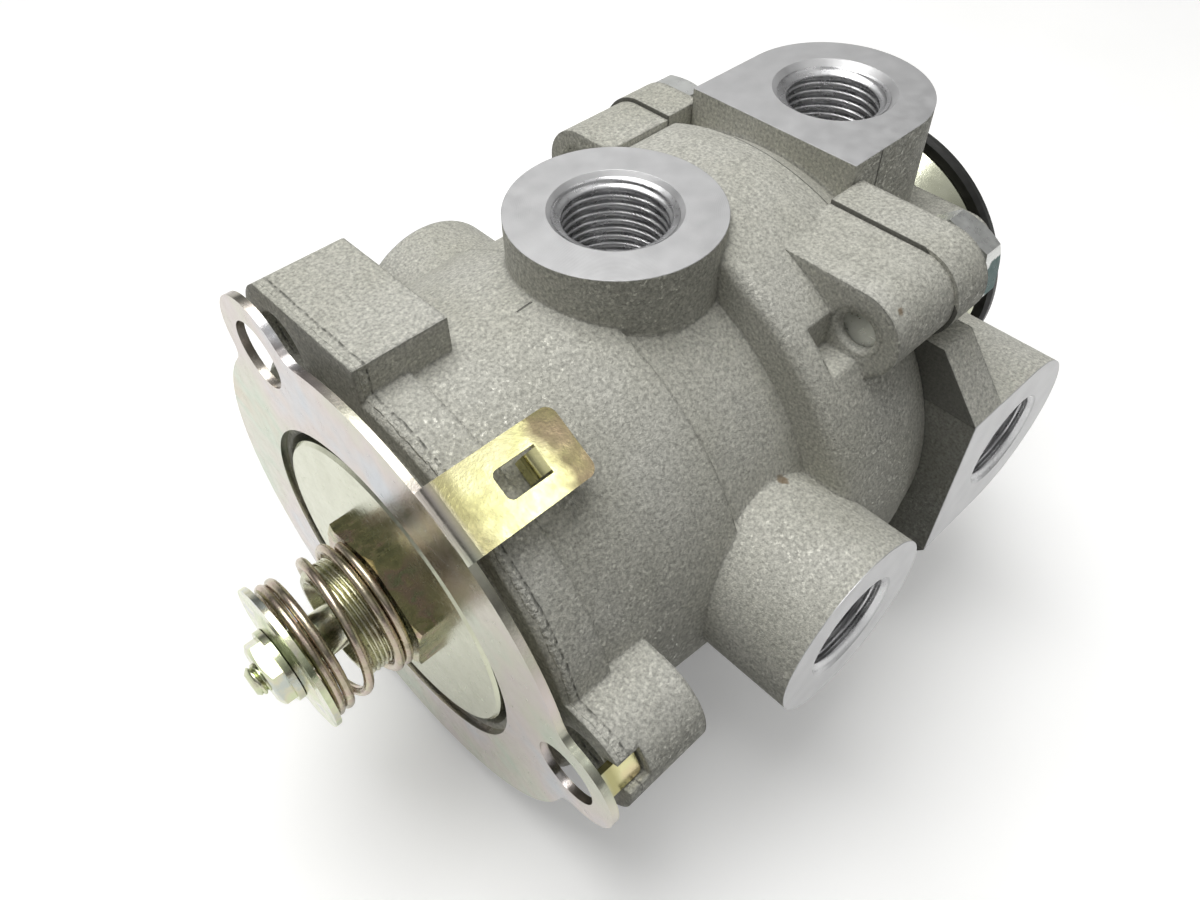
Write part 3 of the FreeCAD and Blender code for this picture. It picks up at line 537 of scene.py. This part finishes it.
def port_thread(name, mouth, out, depth, lead, material):
    """The thread inside a port, as a sleeve just within the plain bore."""
    out = Vector(out)
    mouth = Vector(mouth)
    side = Vector((1, 0, 0))
    other = out.cross(side)
    segments = 80
    rows = int((depth - lead) / port_pitch * rows_per_turn)
    run_out = 0.9
    first, last = lead * 0.55, depth - 0.3
    vertices = []
    for i in range(rows + 1):
        down = first + (last - first) * i / rows
        fade = min(1.0, max(0.0, (down - lead * 0.5) / run_out))
        for j in range(segments):
            angle = 2 * math.pi * j / segments
            height = thread_height(down / port_pitch + j / segments)
            radius = port_root_r + max(0.0, lead - down) * 0.98 - port_thread_depth * fade * height
            around = side * math.cos(angle) + other * math.sin(angle)
            vertices.append(mouth - out * down + around * radius)
    faces = []
    for i in range(rows):
        faces += ring_faces(i * segments, (i + 1) * segments, segments)
    return new_piece(name, vertices, faces, material, "housing")


def thread_rows(x0, x1, radius, depth, pitch):
    count = int((x1 - x0) / pitch * rows_per_turn)
    return [(x0 + (x1 - x0) * i / count, radius, depth, pitch) for i in range(count + 1)]


def lathed(name, profile, segments, material, body):
    """A closed ring turned about the valve's axis, from points (x, radius), which in a thread
    are (x, radius, thread depth, pitch)."""
    vertices = []
    for x, radius, *thread in profile:
        for j in range(segments):
            angle = 2 * math.pi * j / segments
            r = radius
            if thread:
                depth, pitch = thread
                r -= depth * (1 - thread_height(x / pitch - j / segments))
            vertices.append((x, r * math.cos(angle), r * math.sin(angle)))
    faces = []
    count = len(profile)
    for i in range(count):
        faces += ring_faces(i * segments, (i + 1) % count * segments, segments)
    piece = new_piece(name, vertices, faces, material, body)
    piece.modifiers.new("edges", "EDGE_SPLIT").split_angle = math.radians(50)
    return piece


def make_lug_rings(material):
    """The narrow mouth of each screw hole in the upper casting's lugs, in front of the screw."""
    front, rear = 62.55, 63.95
    hole_r, mouth_r, chamfer = 4.27, 2.95, 0.3
    profile = [
        (front, hole_r),
        (front, mouth_r + chamfer),
        (front + chamfer, mouth_r),
        (rear, mouth_r),
        (rear, hole_r),
    ]
    body = carrier("upper_body")
    for name, (y, z) in lug_holes.items():
        ring = lathed("lug_hole_" + name, profile, 48, material, body)
        ring.data.transform(Matrix.Translation(Vector((0, y, z)) * MM))


def make_barrel(material):
    bore_r, outer_r, collar_r = 3.6, 9.2, 10.7
    profile = [(-8.1, bore_r), (-8.1, 6.8), (-9.7, 7.6), (-9.7, 8.4), (-9.0, 9.1)]
    profile += thread_rows(-8.7, 0.1, outer_r, barrel_thread_depth, barrel_pitch)
    profile += [(2.5, outer_r), (2.5, collar_r), (6.0, collar_r), (6.0, bore_r)]
    body = carrier("threaded_barrel")
    piece = lathed("threaded_barrel_visual", profile, 96, material, body)
    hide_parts("threaded_barrel")


def make_stem(material):
    tip_x, shoulder_x, rear_x = -23.4, -16.0, 83.0
    on_axis, thread_r, shank_r = 0.01, 2.4, 3.5
    profile = [(tip_x, on_axis), (tip_x, 1.7), (tip_x + 0.5, 2.2)]
    profile += thread_rows(-22.7, -17.0, thread_r, stem_thread_depth, stem_pitch)
    profile += [(shoulder_x, 2.35), (shoulder_x, 3.4), (shoulder_x + 0.1, shank_r)]
    profile += [(rear_x, shank_r), (rear_x, on_axis)]
    piece = lathed("stem_visual", profile, 64, material, carrier("stem"))
    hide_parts("stem")


def make_stem_spring(material):
    """The spring round the stem, on the same line as its CAD solid."""
    wire_r, coil_r, start = 0.75, 10.35, 209.0
    front_turns, open_turns, back_turns = 1.8, 1.15, 1.45
    first, last, pitch, rise = -15.9, -3.5, 1.56, 4.0
    total = front_turns + open_turns + back_turns
    open_length = last - first - (front_turns + back_turns) * pitch
    data = bpy.data.curves.new("stem_spring_visual", "CURVE")
    data.dimensions = "3D"
    data.bevel_depth = wire_r * MM
    data.bevel_resolution = 6
    data.use_fill_caps = True
    steps = 300
    spline = data.splines.new("POLY")
    spline.points.add(steps)
    for i in range(steps + 1):
        turn = total * i / steps
        share = min(max((turn - front_turns) / open_turns, 0.0), 1.0)
        x = first + (turn - share * open_turns) * pitch + share * open_length
        x += rise * share * (1 - share) ** 2
        angle = math.radians(start - 360 * turn)
        point = (x * MM, coil_r * math.cos(angle) * MM, coil_r * math.sin(angle) * MM, 1)
        spline.points[i].co = point
    spline.use_smooth = True
    data.materials.append(material)
    piece = bpy.data.objects.new("stem_spring_visual", data)
    bpy.context.collection.objects.link(piece)
    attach(piece, carrier("stem_spring"))
    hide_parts("stem_spring")


def make_soft_springs():
    """Copies of the rubber and the coil springs, each on its own mesh, in place of the CAD solids.
    """
    for node, (front, rear, travel) in soft_springs.items():
        solid = frame["nodes"][node]
        piece = bpy.data.objects.new(node + "_soft", solid.data.copy())
        bpy.context.collection.objects.link(piece)
        piece.matrix_world = solid.matrix_world.copy()
        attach(piece, carrier(node))
        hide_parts(node)
        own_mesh(piece)


# Floor and lights


def make_floor():
    low = cad_box[0][2]
    size = floor_half_width
    mesh = bpy.data.meshes.new("floor")
    corners = [(-size, -size, low), (size, -size, low), (size, size, low), (-size, size, low)]
    mesh.from_pydata(corners, [], [(0, 1, 2, 3)])
    floor = bpy.data.objects.new("floor", mesh)
    bpy.context.collection.objects.link(floor)
    finish = Finish("pale_paper")
    # The paper shows pale to the camera and in reflections, and throws less light back
    rays = finish.add("ShaderNodeLightPath").outputs
    seen = finish.highest(
        rays["Is Camera Ray"], rays["Is Glossy Ray"], rays["Is Transmission Ray"]
    )
    paper = finish.mottle(0.02, (0.93, 0.93, 0.92), (0.96, 0.96, 0.955))
    finish.surface(
        finish.mix(seen, (0.13, 0.13, 0.125), paper),
        0.0,
        finish.range(finish.noise(0.2), 0, 1, 0.8, 0.95),
    )
    finish.shader.inputs["Emission Color"].default_value = (1, 1, 1, 1)
    finish.feed(finish.shader.inputs["Emission Strength"], finish.product(seen, floor_glow))
    mesh.materials.append(finish.material)


def make_light(name, toward, distance, size, power, colour):
    """A soft square light that points at the middle of the valve."""
    data = bpy.data.lights.new(name, "AREA")
    data.shape = "SQUARE"
    data.size = size
    data.energy = power
    data.color = colour
    light = bpy.data.objects.new(name, data)
    bpy.context.collection.objects.link(light)
    direction = Vector(toward).normalized()
    light.location = lights_aim + direction * distance
    light.rotation_euler = direction.to_track_quat("Z", "Y").to_euler()


def make_world():
    """A studio that is bright overhead, with a pale wall low down that throws little light."""
    ceiling_range = (0.3, 1.0, 0.03, 0.72)
    wall_range = (0.12, 0.35, 0.9, 0.0)
    world = bpy.data.worlds.new("studio")
    world.use_nodes = True
    tree = world.node_tree

    def add(kind, inputs, **settings):
        node = tree.nodes.new(kind)
        for key, value in settings.items():
            setattr(node, key, value)
        for socket, value in zip(node.inputs, inputs):
            if isinstance(value, bpy.types.NodeSocket):
                tree.links.new(value, socket)
            else:
                socket.default_value = value
        return node.outputs

    def highest(a, b):
        return add("ShaderNodeMath", [a, b], operation="MAXIMUM")[0]

    place = add("ShaderNodeTexCoord", [])["Generated"]
    height = add("ShaderNodeSeparateXYZ", [place])["Z"]
    rays = add("ShaderNodeLightPath", [])
    seen = highest(rays["Is Camera Ray"], rays["Is Glossy Ray"])
    seen = highest(seen, rays["Is Transmission Ray"])
    ceiling = add("ShaderNodeMapRange", [height, *ceiling_range])[0]
    wall = add("ShaderNodeMapRange", [height, *wall_range])[0]
    wall = add("ShaderNodeMath", [wall, seen], operation="MULTIPLY")[0]
    background = tree.nodes["Background"]
    background.inputs["Color"].default_value = (1.0, 1.0, 0.995, 1)
    tree.links.new(highest(ceiling, wall), background.inputs["Strength"])
    bpy.context.scene.world = world
    bpy.context.scene.view_settings.view_transform = "Standard"


def main():
    make_camera()
    cast = cast_finish()
    plate = plate_finish()
    screws = screw_finish()
    rubber = rubber_finish()
    pale = zinc_finish(
        "pale_zinc_disc",
        [(0.55, 0.56, 0.43), (0.62, 0.63, 0.50)],
        0.22,
        0.015,
    )
    yellow = zinc_finish(
        "yellow_zinc_parts",
        [
            (0.27, 0.27, 0.16),
            (0.38, 0.37, 0.20),
            (0.46, 0.42, 0.24),
            (0.46, 0.34, 0.27),
            (0.34, 0.35, 0.22),
        ],
        0.26,
    )
    barrel = zinc_finish(
        "yellow_zinc_barrel",
        [(0.42, 0.42, 0.28), (0.55, 0.54, 0.38), (0.48, 0.45, 0.35)],
        0.26,
    )
    bright = zinc_finish(
        "bright_zinc_stem",
        [(0.46, 0.50, 0.33), (0.60, 0.64, 0.43), (0.62, 0.60, 0.46), (0.52, 0.55, 0.50)],
        0.20,
    )
    wire = zinc_finish(
        "bronze_spring_wire",
        [(0.34, 0.30, 0.22), (0.50, 0.44, 0.33), (0.52, 0.42, 0.35), (0.56, 0.52, 0.38)],
        0.24,
    )
    steel = zinc_finish(
        "spring_steel_wire",
        [(0.36, 0.35, 0.33), (0.52, 0.50, 0.46)],
        0.35,
    )
    turned = turned_finish("turned_aluminium", (0.62, 0.62, 0.625), (0.52, 0.52, 0.53))
    brass = turned_finish("turned_brass", (0.68, 0.52, 0.22), (0.56, 0.41, 0.17))
    finishes = {
        "cast_body": cast,
        "yellow_zinc": yellow,
        "pale_zinc": pale,
        "spring_steel": steel,
        "screw_steel": screws,
        "machined_aluminium": turned,
        "black_rubber": rubber,
        "brass_valve": brass,
    }
    special = {
        "retaining_plate": plate,
        "stem_spring_washer": bright,
        "stem_lock_nut": bright,
        "exhaust_cover": pale,
    }
    for part in frame["record"]["subparts"]:
        node = part["node"]
        finish = special.get(node, finishes[part["material_slot"]])
        for place in frame["nodes"][node].material_slots:
            place.material = finish
    for name, (mouth, out, depth, lead) in ports.items():
        port_thread(name, mouth, out, depth, lead, turned)
    make_lug_rings(cast)
    make_barrel(barrel)
    make_stem(bright)
    make_stem_spring(wire)
    make_soft_springs()
    make_floor()
    for name, setting in lights.items():
        make_light(name, *setting)
    make_world()


main()
